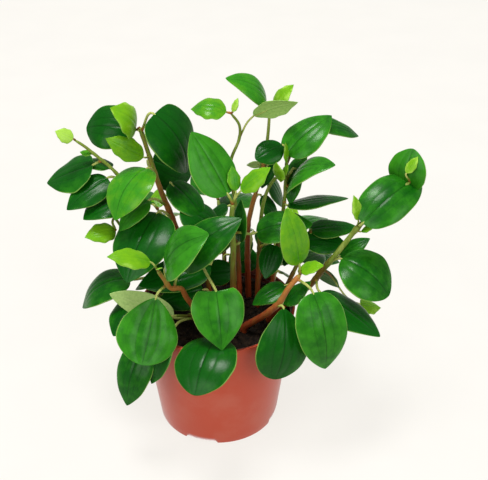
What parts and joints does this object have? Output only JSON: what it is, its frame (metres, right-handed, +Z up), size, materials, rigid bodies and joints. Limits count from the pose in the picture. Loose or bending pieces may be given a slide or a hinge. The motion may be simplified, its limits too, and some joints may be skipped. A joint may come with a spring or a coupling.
{
  "type": "potted peperomia",
  "caption": "Bushy leafy house plant with round glossy leaves on branching reddish stems, in a plain tapered terracotta-coloured nursery pot filled with dark peat.",
  "frame": {"origin": "centre of the flat underside of the pot, on the surface that it stands on", "axes": "+Z up; -Y is the side that the picture looks at; +X is to the right in the picture"},
  "size_m": [0.243, 0.1728, 0.2407],
  "materials": {
    "pot": "satin",
    "soil": "matte, moist crumbly peat",
    "foliage": "waxy gloss"
  },
  "bodies": {
    "root": {"pot": "pot", "soil": "soil", "stem_rear_left": "foliage", "stem_far_left": "foliage", "stem_left": "foliage", "stem_front_left": "foliage", "stem_inner_left": "foliage", "stem_centre": "foliage", "stem_tall_left": "foliage", "stem_tall_right": "foliage", "stem_upper_right": "foliage", "stem_right_rear": "foliage", "stem_right": "foliage", "stem_front_right": "foliage", "stem_far_right": "foliage", "stem_back_left": "foliage", "stem_back": "foliage", "stem_back_right": "foliage"}
  },
  "joints": []
}
